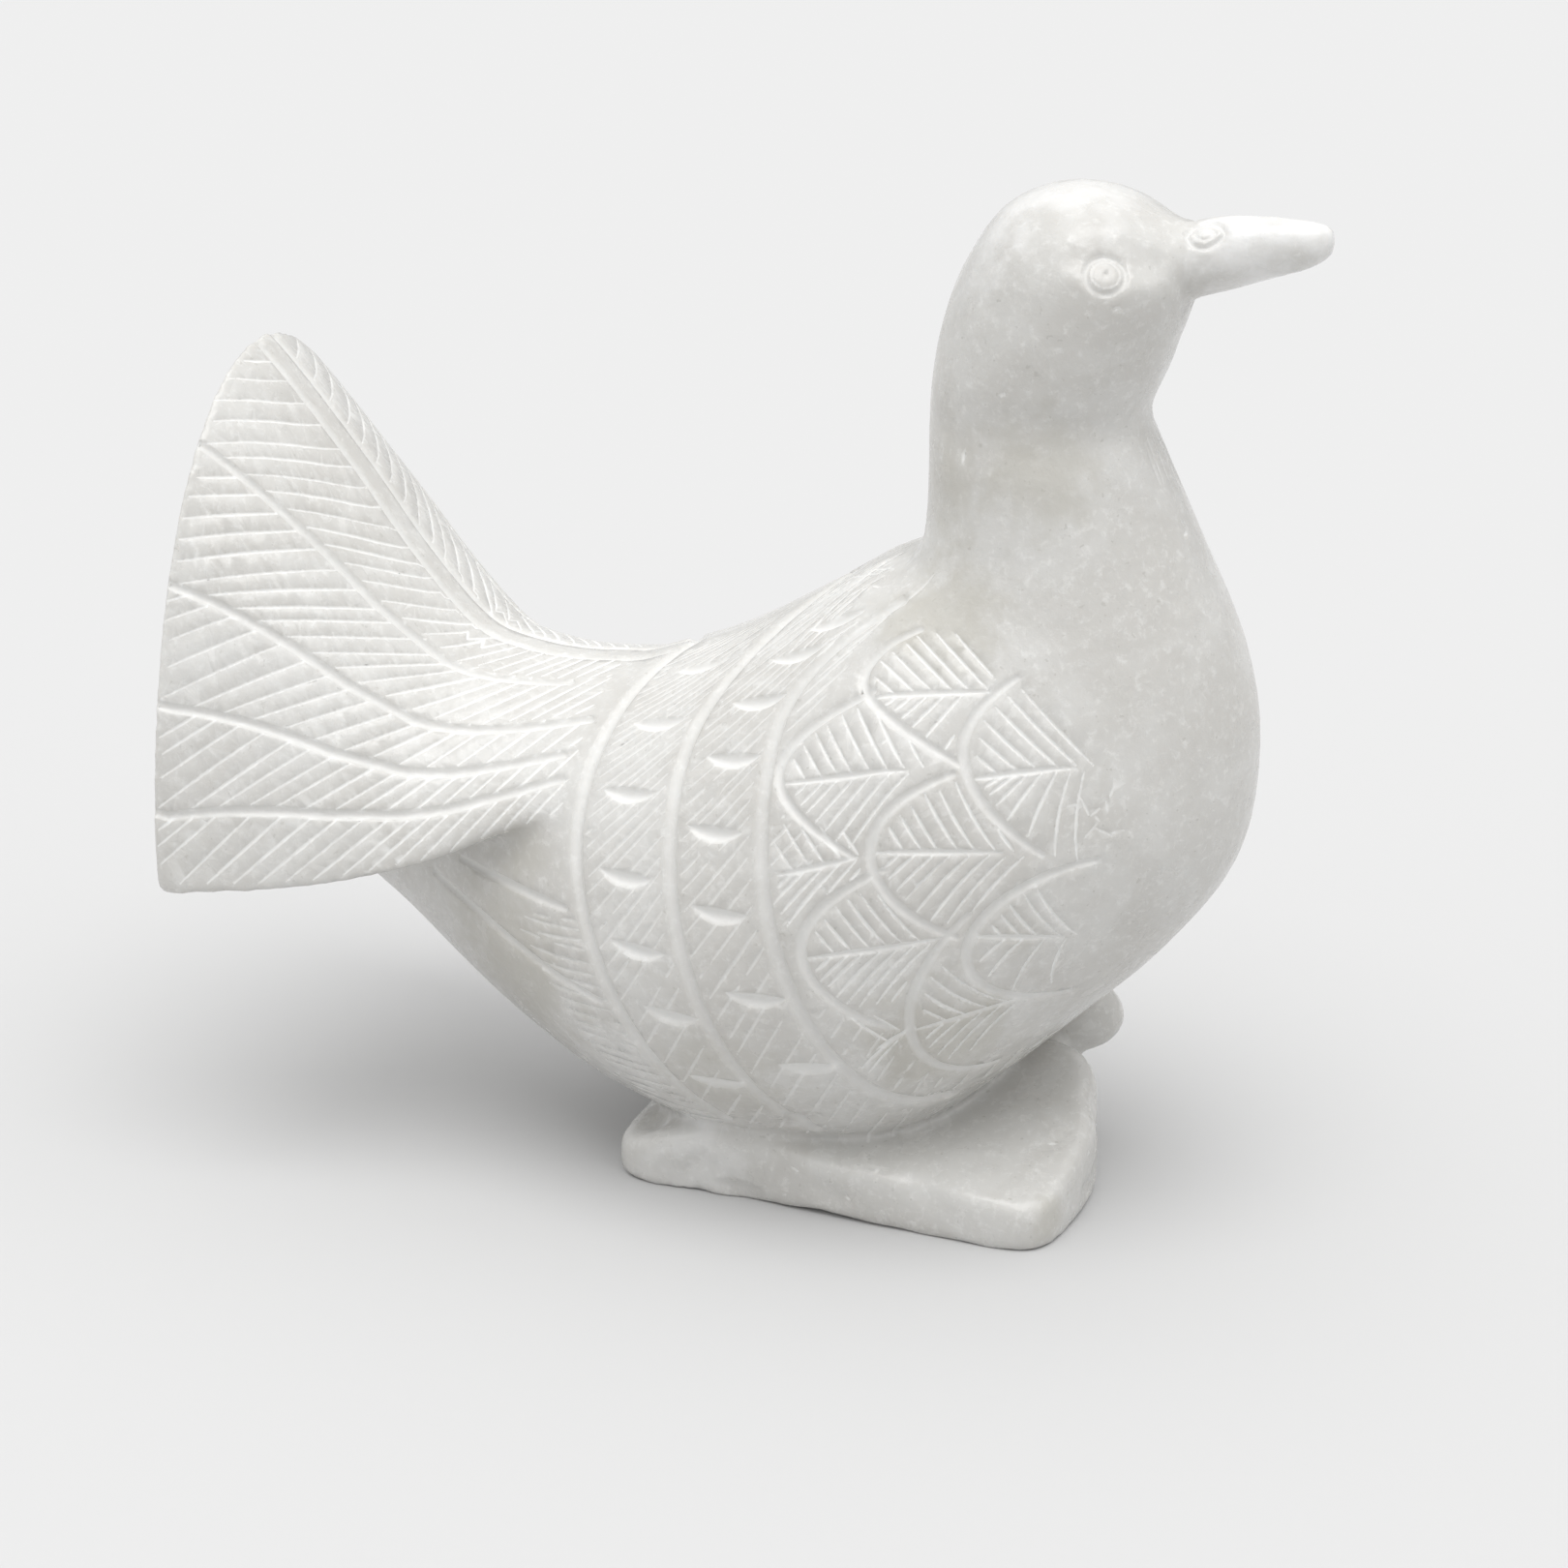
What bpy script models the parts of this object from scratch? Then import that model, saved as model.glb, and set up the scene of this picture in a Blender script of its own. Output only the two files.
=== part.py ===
"""A marble dove with a raised fan tail, carved with its rock foot from one block.

Metres, +Z up. The dove faces +X, its middle plane is y = 0, and the origin is the middle of the
rock foot's flat underside.
"""

import math

import bmesh
import bpy
import numpy as np
from mathutils import Vector
from mathutils.bvhtree import BVHTree
from mathutils.kdtree import KDTree

# Driving sizes
BIRD_LENGTH = 0.424  # from the tail's end to the beak's tip
BIRD_LIFT = 0.003  # how high the bird's grid stands over the underside
FOOT_LENGTH = 0.175  # the rock foot, along the bird
FOOT_WIDTH = 0.130
FOOT_HEIGHT = 0.028  # at the foot's edge
FOOT_RISE = 0.036  # how much higher the rock is in front, on the far side
FOOT_HOLLOW = 0.002  # how far the near lower edge is worn up
FOOT_TOE_PLACE = (0.067, 0.053, 0.047)  # a rounded lump on the far front lobe
FOOT_TOE_REACH = (0.022, 0.016, 0.016)
TAIL_WALL = 0.022  # thickness of the fan at its lower edges
TAIL_CREST_WALL = 0.042  # thickness of the fan at its crest
EDGE_ROUND = 10  # smoothing passes over the whole carving
ROOT_BLEND = 70  # smoothing passes where the fan grows out of the rump

BAND_WIDTH = 0.0062  # the three long channels round the body
BAND_DEPTH = 0.0018
LINE_WIDTH = 0.0046  # the feather lines of the tail, rump and shoulders
LINE_DEPTH = 0.0015
CUT_LENGTH = 0.024  # the short lens cuts between the channels
CUT_WIDTH = 0.0062
CUT_DEPTH = 0.0022
EYE_WIDTH = 0.018  # across the ring groove round the eye
EYE_GROOVE = 0.0030
FLAT_BELOW = 0.0006  # the underside is dressed flat up to this height
FORM_CELL = 0.0017  # how finely the joined forms are resolved
TRIANGLES = 9400

# The free form of the bird is laid out on a carver's grid of squares, this many to its length.
GRID = BIRD_LENGTH / 424

RING_POINTS = 48
RINGS_PER_STATION = 4

# The trunk runs from the rump through the belly, breast, neck and head to the beak's tip. Each
# station is one slice: its point on the back, its point on the front or belly, half its width.
TRUNK_STATIONS = (
    # back x, back z, belly x, belly z, half width, and for the head how much narrower its crown is
    (-213, 108, -214, 88, 9, 0),
    (-190, 136, -191, 75, 26, 0),
    (-166, 156, -167, 59, 43, 0),
    (-141, 172, -142, 43, 59, 0),
    (-116, 184, -117, 30, 74, 0),
    (-90, 194, -90, 18, 87, 0),
    (-56, 207, -50, 7, 97, 0),
    (-20, 227.5, -20, 6, 101, 0),
    (4, 243, 4, 9, 101, 0),
    (18, 249.5, 30, 19, 100, 0),
    (22, 252, 59, 43, 98, 0),
    (22.5, 253, 86, 69, 92, 0),
    (23, 255, 118, 101, 83, 0),
    (23, 258, 143, 138, 72, 0),
    (23, 263, 149, 180, 61, 0),
    (23, 272, 142.5, 218, 52, 0),
    (23, 285, 125, 257, 46, 0),
    (23, 300, 109, 291, 42.5, 0),
    (24, 316, 103.5, 304, 41.5, 0),
    (27, 334, 105.5, 312, 43, 0.04),
    (34, 355, 110, 322.5, 44, 0.07),
    (48, 377, 113, 332, 43.5, 0.1),
    (68, 387, 115.5, 339, 41, 0.12),
    (90, 386, 117, 345, 35, 0.14),
    (107, 378, 118.5, 348, 26, 0.12),
    (116, 376, 120, 349, 18, 0),
    (130, 379, 132, 352.5, 13.5, 0),
    (148, 379.5, 148, 358, 9.5, 0),
    (160, 379, 160, 362, 7.5, 0),
    (168, 377, 168, 367, 4, 0),
)

# The fan tail, from its root to its end: crest height, lower edge height, half width.
TAIL_STATIONS = (
    # x, crest z, edge z, half width
    (-96, 193, 152, 70),
    (-120, 191, 141, 76),
    (-142, 193, 131, 83),
    (-161, 199.5, 125, 88),
    (-186, 225.5, 119, 96),
    (-210, 257, 115, 101),
    (-235, 287.5, 112, 105),
    (-250.5, 304.5, 110.3, 106.6),
    (-254.5, 307.5, 114.5, 107),
)


BODY_AXIS = 120  # height of the line that angles round the body are measured about

# A channel stands furthest back at one angle from the back's crest, and curves forward from there
# to its upper end and to the belly.
BODY_CHANNELS = (
    # x furthest back, its angle, how far its upper end is forward, that end's angle, how late it
    # turns forward, how far its belly end is forward, that end's angle
    (-91, 62, 20, 0, 2, 56, 142),
    (-50, 53, 44, 0, 2, 50, 146),
    (-12, 52, 38, 21, 3, 60, 148),
)

# Lens cuts stand in rows between the channels: x of the middle and angle from the crest.
LENS_CUTS = (
    (-57, 20), (-66, 39), (-70, 59), (-66, 79), (-59, 95), (-46, 109), (-31, 126),
    (0, 21), (-12, 27), (-23, 37), (-28, 50), (-30, 66), (-25, 83), (-11, 101), (6, 119),
)  # fmt: skip

# A shoulder feather is a bow that opens forward: its foremost cut ends at either side, the spine
# runs forward from its middle.
SHOULDER_FEATHERS = (
    # x of the bow's middle, its angle, half the angle it spans, how far its ends run forward, how
    # much further the lower one runs, the spine's angle, its length, the angle it turns by
    (-7, 53, 15, 32, 0, 56, 50, -5),
    (-4, 74, 0, 0, 0, 74, 32, -6),
    (7, 89, 19, 30, 0, 91, 50, -7),
    (31, 115, 0, 0, 0, 115, 14, -6),
    (21, 37.5, 10.8, 28, 12, 40, 46, -5),
    (32, 67, 17, 28, 2, 67, 45, -4),
    (44, 110, 32, 22, 0, 110, 36, -2),
    (61, 47, 15, 21.5, 7.5, 51, 38, -8),
    (65, 87.5, 27, 36, -6, 83.5, 31, 1),
)

# A tail line runs along the fan: its angle from the crest at the root and at the end, in the
# fan's own section, and the x where it starts.
TAIL_LINES = ((21, 32, -114), (41, 53, -98), (57, 68, -104), (70, 81, -102))
CREST_LINE = 6.5  # the pair of lines at the crest, from the middle plane
TAIL_END = -253  # the x where the tail lines stop

# Two lines on the rump, under the fan: x and angle round the body at both ends.
RUMP_LINES = ((-150, 91, -92, 91), (-166, 106, -77, 112))

EYE_PLACE = (97, 40, 364)
NOSTRIL_PLACE = (124, 12, 376)


def spline(rows, per_span):
    """Rows of numbers joined by a smooth curve through each of them."""
    rows = np.array(rows, float)
    ends = np.vstack([2 * rows[0] - rows[1], rows, 2 * rows[-1] - rows[-2]])
    made = []
    for i in range(len(rows) - 1):
        a, b, c, d = ends[i : i + 4]
        for t in np.arange(per_span) / per_span:
            made.append(
                b
                + 0.5 * t * (c - a)
                + t * t * (a - 2.5 * b + 2 * c - 0.5 * d)
                + t * t * t * (1.5 * (b - c) + 0.5 * (d - a))
            )
    made.append(rows[-1])
    return np.array(made)


def lofted(name, rings):
    """A closed solid through rings of points, with a flat cap at each end."""
    bm = bmesh.new()
    loops = [[bm.verts.new(p) for p in ring] for ring in rings]
    for one, two in zip(loops, loops[1:]):
        for i in range(len(one)):
            j = (i + 1) % len(one)
            bm.faces.new((one[i], one[j], two[j], two[i]))
    bm.faces.new(loops[0])
    bm.faces.new(loops[-1])
    bmesh.ops.triangulate(bm, faces=[f for f in bm.faces if len(f.verts) > 4])
    bmesh.ops.recalc_face_normals(bm, faces=bm.faces)
    mesh = bpy.data.meshes.new(name)
    bm.to_mesh(mesh)
    bm.free()
    form = bpy.data.objects.new(name, mesh)
    bpy.context.scene.collection.objects.link(form)
    return form


def trunk():
    """Rump, body, neck, head and beak, as one row of oval slices."""
    turn = np.linspace(0, 2 * math.pi, RING_POINTS, endpoint=False)
    rings = []
    for back_x, back_z, belly_x, belly_z, half_width, egg in spline(
        TRUNK_STATIONS, RINGS_PER_STATION
    ):
        middle = np.array([back_x + belly_x, 0, back_z + belly_z]) / 2
        up = np.array([back_x - belly_x, 0, back_z - belly_z]) / 2
        side = np.array([0, half_width, 0])
        width = np.sin(turn) * (1 - egg * np.cos(turn))
        rings.append(GRID * (middle + np.outer(np.cos(turn), up) + np.outer(width, side)))
    return lofted("trunk", rings)


def tail():
    """The fan: an arch that grows from the rump, hollowed below."""
    half = RING_POINTS // 2 + 1
    sweep = np.linspace(-math.pi / 2, math.pi / 2, half)
    stations = spline(TAIL_STATIONS, RINGS_PER_STATION)
    rings = []
    for step, (x, crest, edge, half_width) in enumerate(stations):
        x, crest, edge, half_width = GRID * np.array([x, crest, edge, half_width])
        share = step / (len(stations) - 1)
        hollow = share**0.7
        arch = 1.5 - 0.5 * share
        inner_width = half_width - TAIL_WALL
        inner_height = (crest - edge - TAIL_CREST_WALL) * hollow
        outer = [
            (x, half_width * math.sin(a), edge + (crest - edge) * abs(math.cos(a)) ** arch)
            for a in sweep
        ]
        inner = [
            (x, inner_width * math.sin(a), edge + inner_height * math.cos(a))
            for a in sweep[::-1]
        ]
        rings.append(outer + inner)
    return lofted("tail", rings)


def foot():
    """The rough rock left under the belly: two front lobes with a cleft between them."""
    bpy.ops.mesh.primitive_cube_add(size=2)
    form = bpy.context.object
    form.name = "foot"
    bm = bmesh.new()
    bm.from_mesh(form.data)
    bmesh.ops.subdivide_edges(bm, edges=bm.edges, cuts=23, use_grid_fill=True)
    for vert in bm.verts:
        u, v, w = vert.co / sum(abs(c) ** 8 for c in vert.co) ** (1 / 8)
        front = min(1, max(0, (u + 0.2) / 1.1))
        back = max(0, -u - 0.55) / 0.45
        cleft = math.exp(-(((v - 0.50) / 0.14) ** 2)) * max(0, u)
        lobe = front * min(1, max(0, (0.35 - v) / 0.5))
        far_corner = front * min(1, max(0, (v - 0.5) / 0.3))
        top = FOOT_HEIGHT - 0.009 * front + (FOOT_RISE + 0.009) * front * (v + 1) / 2
        top -= 0.010 * back + 0.008 * cleft
        x = FOOT_LENGTH / 2 * u + 0.001 - 0.018 * cleft + 0.007 * lobe
        x -= 0.018 * far_corner
        y = FOOT_WIDTH / 2 * v + 0.002 - 0.008 * front * max(0, -v)
        lump = 0.0012 * math.sin(70 * x + 1) * math.cos(90 * y + 2) * min(1, 2 + 2 * w)
        z = max(0, (w + 0.72) / 1.72)
        hollow = FOOT_HOLLOW * math.exp(-(((u - 0.02) / 0.12) ** 2)) * max(0, -v - 0.6) / 0.4
        vert.co = (x + lump, y + lump, z * (top + lump) + (1 - z) * hollow)
    bm.to_mesh(form.data)
    bm.free()
    bpy.ops.mesh.primitive_uv_sphere_add(segments=32, ring_count=16, radius=1)
    toe = bpy.context.object
    toe.name = "toe"
    toe.location = FOOT_TOE_PLACE
    toe.scale = FOOT_TOE_REACH
    return [form, toe]


def joined(forms):
    """The forms as one closed body, resolved into small even cells and eased over."""
    bpy.ops.object.select_all(action="DESELECT")
    for form in forms:
        form.select_set(True)
    bpy.context.view_layer.objects.active = forms[0]
    bpy.ops.object.join()
    dove = bpy.context.object
    cells = dove.modifiers.new("cells", "REMESH")
    cells.mode = "VOXEL"
    cells.voxel_size = FORM_CELL
    ease = dove.modifiers.new("ease", "SMOOTH")
    ease.factor = 0.5
    ease.iterations = EDGE_ROUND
    bpy.ops.object.modifier_apply(modifier="cells")
    root = dove.vertex_groups.new(name="root")
    for vert in dove.data.vertices:
        x, y, z = vert.co / GRID
        along = 1 - abs(x + 118) / 38
        above = (z - 118) / 25
        if along > 0 and above > 0:
            root.add([vert.index], min(1, 2 * along) * min(1, above), "REPLACE")
    flow = dove.modifiers.new("flow", "SMOOTH")
    flow.factor = 0.5
    flow.iterations = ROOT_BLEND
    flow.vertex_group = "root"
    bpy.ops.object.modifier_apply(modifier="ease")
    bpy.ops.object.modifier_apply(modifier="flow")
    dove.vertex_groups.clear()
    for vert in dove.data.vertices:
        if vert.co.z < FLAT_BELOW:
            vert.co.z = 0
    return dove


def on_body(surface, x, angle, side):
    """The point of the surface at x, this many degrees round the body from the crest, or None
    where the rock foot covers the belly there."""
    turn = math.radians(angle)
    start = Vector((x * GRID, 0, BODY_AXIS * GRID + BIRD_LIFT))
    out = Vector((0, side * math.sin(turn), math.cos(turn)))
    point, normal = surface.ray_cast(start, out)[:2]
    return None if angle > 120 and normal.z > -0.3 else point


def on_tail(surface, x, angle, side):
    """The point of the surface at x on the fan, this many degrees from its crest."""
    rows = np.array(TAIL_STATIONS, float)[::-1]
    crest, edge, half_width = (np.interp(x, rows[:, 0], rows[:, i]) for i in (1, 2, 3))
    turn = math.radians(angle)
    near = Vector((x, side * half_width * math.sin(turn), edge + (crest - edge) * math.cos(turn)))
    near *= GRID
    near.z += BIRD_LIFT
    return surface.find_nearest(near)[0]


def steps(start, stop, count):
    return [start + (stop - start) * i / (count - 1) for i in range(count)]


def channel_x(row, angle):
    x, middle, upper_run, upper, late, belly_run, belly = row
    if angle < middle:
        return x + upper_run * ((middle - angle) / (middle - upper)) ** late
    return x + belly_run * ((angle - middle) / (belly - middle)) ** 2


def strokes(surface):
    """Every groove as (points along it, half width, depth), for both sides of the bird."""
    made = []
    for side in (-1, 1):
        for row in BODY_CHANNELS:
            line = [
                on_body(surface, channel_x(row, angle), angle, side)
                for angle in steps(row[3], row[6], 60)
            ]
            made.append((line, BAND_WIDTH / 2, BAND_DEPTH, 0))
        for x, angle in LENS_CUTS:
            half = CUT_LENGTH / GRID / 2
            line = [on_body(surface, x + d, angle, side) for d in steps(-half, half, 9)]
            made.append((line, CUT_WIDTH / 2, CUT_DEPTH, 1))
        for x, angle, span, run, skew, spine_angle, spine, turn in SHOULDER_FEATHERS:
            if span:
                line = [
                    on_body(surface, x + (run * share + skew) * share, angle + span * share, side)
                    for share in steps(-1, 1, 25)
                ]
                made.append((line, LINE_WIDTH / 2, LINE_DEPTH, 0))
            line = [
                on_body(surface, x + spine * share, spine_angle + turn * share, side)
                for share in steps(0.04, 1, 9)
            ]
            made.append((line, LINE_WIDTH / 2 * 0.8, LINE_DEPTH * 0.8, 0.5))
        for root, end, start in TAIL_LINES:
            line = []
            for share in steps(0, 1, 25):
                x = start + (TAIL_END - start) * share
                line.append(on_tail(surface, x, root + (end - root) * share**1.3, side))
            made.append((line, LINE_WIDTH / 2, LINE_DEPTH, 0))
        line = []
        for x in steps(-78, -256, 40):
            above = Vector((x * GRID, side * CREST_LINE * GRID, 0.5))
            line.append(surface.ray_cast(above, Vector((0, 0, -1)))[0])
        made.append((line, LINE_WIDTH / 2 * 0.9, LINE_DEPTH, 0))
        for x, angle, to_x, to_angle in RUMP_LINES:
            line = [
                on_body(surface, x + (to_x - x) * share, angle + (to_angle - angle) * share, side)
                for share in steps(0, 1, 13)
            ]
            made.append((line, LINE_WIDTH / 2, LINE_DEPTH, 0))
        made += head_strokes(surface, side)
    return made


def head_strokes(surface, side):
    """The ring round the eye, the dot inside it, and the nostril."""
    made = []
    x, y, z = EYE_PLACE
    middle = Vector((x, side * y, z)) * GRID
    middle.z += BIRD_LIFT
    middle, normal = surface.find_nearest(middle)[:2]
    across = normal.cross(Vector((0, 0, 1))).normalized()
    up = across.cross(normal)
    radius = EYE_WIDTH / 2 - EYE_GROOVE / 2
    ring = [
        middle + radius * (across * math.cos(turn) + up * math.sin(turn))
        for turn in steps(0, 2 * math.pi, 25)
    ]
    made.append(([surface.find_nearest(p)[0] for p in ring], EYE_GROOVE / 2, 0.0012, 0))
    x, y, z = NOSTRIL_PLACE
    middle = Vector((x, side * y, z)) * GRID
    middle.z += BIRD_LIFT
    line = [
        surface.find_nearest(middle + Vector((run, 0, 0.25 * run)) * GRID)[0]
        for run in steps(-5, 5, 7)
    ]
    made.append((line, 0.0034, 0.0022, 1))
    return made


def carve(dove, grooves):
    """Sinks each groove into the surface: round-bottomed, and tapered where it asks for it."""
    samples = []
    for line, half_width, depth, taper in grooves:
        line = [p for p in line if p is not None]
        reach = [0]
        for a, b in zip(line, line[1:]):
            reach.append(reach[-1] + (b - a).length)
        for i, (a, b) in enumerate(zip(line, line[1:])):
            count = max(1, int((b - a).length / 0.0008))
            for k in range(count):
                share = (reach[i] + (b - a).length * k / count) / reach[-1]
                narrow = 1 - taper * abs(2 * share - 1) ** 2
                samples.append((a.lerp(b, k / count), half_width * narrow, depth * narrow))
    tree = KDTree(len(samples))
    for i, (point, _, _) in enumerate(samples):
        tree.insert(point, i)
    tree.balance()
    widest = max(half_width for _, half_width, _ in samples)
    moved = []
    for vert in dove.data.vertices:
        sink = 0
        for _, i, distance in tree.find_range(vert.co, widest):
            _, half_width, depth = samples[i]
            if distance < half_width:
                sink = max(sink, depth * (1 - (distance / half_width) ** 2))
        if sink:
            moved.append((vert, vert.co - vert.normal * sink))
    for vert, place in moved:
        vert.co = place


def build():
    for stale in list(bpy.data.objects):
        bpy.data.objects.remove(stale)
    bird = [trunk(), tail()]
    for form in bird:
        form.location.z = BIRD_LIFT
    dove = joined([*foot(), *bird])
    dove.name = "dove"
    dove.data.name = "dove"
    surface = BVHTree.FromObject(dove, bpy.context.evaluated_depsgraph_get())
    carve(dove, strokes(surface))
    fewer = dove.modifiers.new("fewer", "DECIMATE")
    fewer.ratio = TRIANGLES / sum(len(f.vertices) - 2 for f in dove.data.polygons)
    return dove


build()
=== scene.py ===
"""A white marble dove with a raised fan tail, carved with its rock foot from one block.

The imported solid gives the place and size. The carving is made again here from the same tables, on a
finer surface, with the small tool cuts and the marble's finish. Only the lens cuts are a little
wider than the solid's, and the rings round the eyes a little shallower.
"""

import math
import random

import bmesh
import bpy
import numpy as np
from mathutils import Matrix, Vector
from mathutils.bvhtree import BVHTree
from mathutils.kdtree import KDTree


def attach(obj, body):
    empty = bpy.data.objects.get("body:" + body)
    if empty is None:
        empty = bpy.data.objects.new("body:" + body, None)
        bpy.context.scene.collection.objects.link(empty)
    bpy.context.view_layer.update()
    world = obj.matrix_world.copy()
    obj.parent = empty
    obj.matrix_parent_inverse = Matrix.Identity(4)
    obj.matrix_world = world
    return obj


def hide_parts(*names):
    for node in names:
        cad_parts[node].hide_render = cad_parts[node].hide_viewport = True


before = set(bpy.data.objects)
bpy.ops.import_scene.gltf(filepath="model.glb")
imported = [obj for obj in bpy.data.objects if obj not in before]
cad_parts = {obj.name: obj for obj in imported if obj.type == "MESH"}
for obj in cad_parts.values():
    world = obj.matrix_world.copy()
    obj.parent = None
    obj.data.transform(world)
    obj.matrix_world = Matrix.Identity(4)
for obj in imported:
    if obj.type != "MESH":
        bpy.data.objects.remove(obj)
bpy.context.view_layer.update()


# The trunk
# Rump, body, neck, head and beak are one rounded mass of white marble, rubbed smooth. The carver
# worked it down from the block as a row of oval slices along the bird.

BIRD_LENGTH = 0.424
BIRD_LIFT = 0.003
GRID = BIRD_LENGTH / 424
RING_POINTS = 48
RINGS_PER_STATION = 4

TRUNK_STATIONS = (
    # back x, back z, belly x, belly z, half width, and for the head how much narrower its crown is
    (-213, 108, -214, 88, 9, 0),
    (-190, 136, -191, 75, 26, 0),
    (-166, 156, -167, 59, 43, 0),
    (-141, 172, -142, 43, 59, 0),
    (-116, 184, -117, 30, 74, 0),
    (-90, 194, -90, 18, 87, 0),
    (-56, 207, -50, 7, 97, 0),
    (-20, 227.5, -20, 6, 101, 0),
    (4, 243, 4, 9, 101, 0),
    (18, 249.5, 30, 19, 100, 0),
    (22, 252, 59, 43, 98, 0),
    (22.5, 253, 86, 69, 92, 0),
    (23, 255, 118, 101, 83, 0),
    (23, 258, 143, 138, 72, 0),
    (23, 263, 149, 180, 61, 0),
    (23, 272, 142.5, 218, 52, 0),
    (23, 285, 125, 257, 46, 0),
    (23, 300, 109, 291, 42.5, 0),
    (24, 316, 103.5, 304, 41.5, 0),
    (27, 334, 105.5, 312, 43, 0.04),
    (34, 355, 110, 322.5, 44, 0.07),
    (48, 377, 113, 332, 43.5, 0.1),
    (68, 387, 115.5, 339, 41, 0.12),
    (90, 386, 117, 345, 35, 0.14),
    (107, 378, 118.5, 348, 26, 0.12),
    (116, 376, 120, 349, 18, 0),
    (130, 379, 132, 352.5, 13.5, 0),
    (148, 379.5, 148, 358, 9.5, 0),
    (160, 379, 160, 362, 7.5, 0),
    (168, 377, 168, 367, 4, 0),
)


def spline(rows, per_span):
    """Rows of numbers joined by a smooth curve through each of them."""
    rows = np.array(rows, float)
    ends = np.vstack([2 * rows[0] - rows[1], rows, 2 * rows[-1] - rows[-2]])
    made = []
    for i in range(len(rows) - 1):
        a, b, c, d = ends[i : i + 4]
        for t in np.arange(per_span) / per_span:
            made.append(
                b
                + 0.5 * t * (c - a)
                + t * t * (a - 2.5 * b + 2 * c - 0.5 * d)
                + t * t * t * (1.5 * (b - c) + 0.5 * (d - a))
            )
    made.append(rows[-1])
    return np.array(made)


def lofted(name, rings):
    """A closed solid through rings of points, with a flat cap at each end."""
    bm = bmesh.new()
    loops = [[bm.verts.new(p) for p in ring] for ring in rings]
    for one, two in zip(loops, loops[1:]):
        for i in range(len(one)):
            j = (i + 1) % len(one)
            bm.faces.new((one[i], one[j], two[j], two[i]))
    bm.faces.new(loops[0])
    bm.faces.new(loops[-1])
    bmesh.ops.triangulate(bm, faces=[f for f in bm.faces if len(f.verts) > 4])
    bmesh.ops.recalc_face_normals(bm, faces=bm.faces)
    mesh = bpy.data.meshes.new(name)
    bm.to_mesh(mesh)
    bm.free()
    form = bpy.data.objects.new(name, mesh)
    bpy.context.scene.collection.objects.link(form)
    return form


def trunk():
    turn = np.linspace(0, 2 * math.pi, RING_POINTS, endpoint=False)
    rings = []
    for back_x, back_z, belly_x, belly_z, half_width, egg in spline(TRUNK_STATIONS, RINGS_PER_STATION):
        middle = np.array([back_x + belly_x, 0, back_z + belly_z]) / 2
        up = np.array([back_x - belly_x, 0, back_z - belly_z]) / 2
        side = np.array([0, half_width, 0])
        width = np.sin(turn) * (1 - egg * np.cos(turn))
        rings.append(GRID * (middle + np.outer(np.cos(turn), up) + np.outer(width, side)))
    return lofted("trunk", rings)


bird_trunk = trunk()


# The fan tail
# The raised tail is part of the same block: a thick arch that opens towards its end and is
# hollowed out below, with rounded edges.

TAIL_WALL = 0.022
TAIL_CREST_WALL = 0.042
ROOT_ARCH = 1.5  # how pointed the arch is at its root, where 1 is the round arch of its end
HOLLOW_OPENS = 0.7  # how soon the hollow below the arch opens, where 1 is evenly

TAIL_STATIONS = (
    # x, crest z, edge z, half width
    (-96, 193, 152, 70),
    (-120, 191, 141, 76),
    (-142, 193, 131, 83),
    (-161, 199.5, 125, 88),
    (-186, 225.5, 119, 96),
    (-210, 257, 115, 101),
    (-235, 287.5, 112, 105),
    (-250.5, 304.5, 110.3, 106.6),
    (-254.5, 307.5, 114.5, 107),
)


def fan():
    sweep = np.linspace(-math.pi / 2, math.pi / 2, RING_POINTS // 2 + 1)
    stations = spline(TAIL_STATIONS, RINGS_PER_STATION)
    rings = []
    for step, row in enumerate(stations):
        x, crest, edge, half_width = GRID * row
        share = step / (len(stations) - 1)
        arch = ROOT_ARCH - (ROOT_ARCH - 1) * share
        inner_width = half_width - TAIL_WALL
        inner_height = (crest - edge - TAIL_CREST_WALL) * share**HOLLOW_OPENS
        outer = [
            (x, half_width * math.sin(a), edge + (crest - edge) * abs(math.cos(a)) ** arch)
            for a in sweep
        ]
        inner = [
            (x, inner_width * math.sin(a), edge + inner_height * math.cos(a)) for a in sweep[::-1]
        ]
        rings.append(outer + inner)
    return lofted("fan", rings)


bird_tail = fan()


# The rock foot
# Under the belly the carver left a low rough rock, split by a cleft in front. It is the same
# marble, only rounded over, and the whole bird stands on its flat underside.

FOOT_LENGTH = 0.175
FOOT_WIDTH = 0.130
FOOT_HEIGHT = 0.028
FOOT_RISE = 0.036
FOOT_HOLLOW = 0.002
FOOT_TOE_PLACE = (0.067, 0.053, 0.047)
FOOT_TOE_REACH = (0.022, 0.016, 0.016)
FOOT_SQUARE = 8  # how square the block is, where 2 is an egg
FOOT_CUTS = 23
CLEFT_PLACE = 0.50  # in half widths of the foot
CLEFT_WIDTH = 0.14
CLEFT_RUN = 0.018
CLEFT_DEPTH = 0.008
CORNER_RUN = 0.018  # how far the far front corner is knocked back
LOBE_RUN = 0.007
FRONT_DROP = 0.009
BACK_DROP = 0.010
FOOT_LUMP = 0.0012


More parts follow.
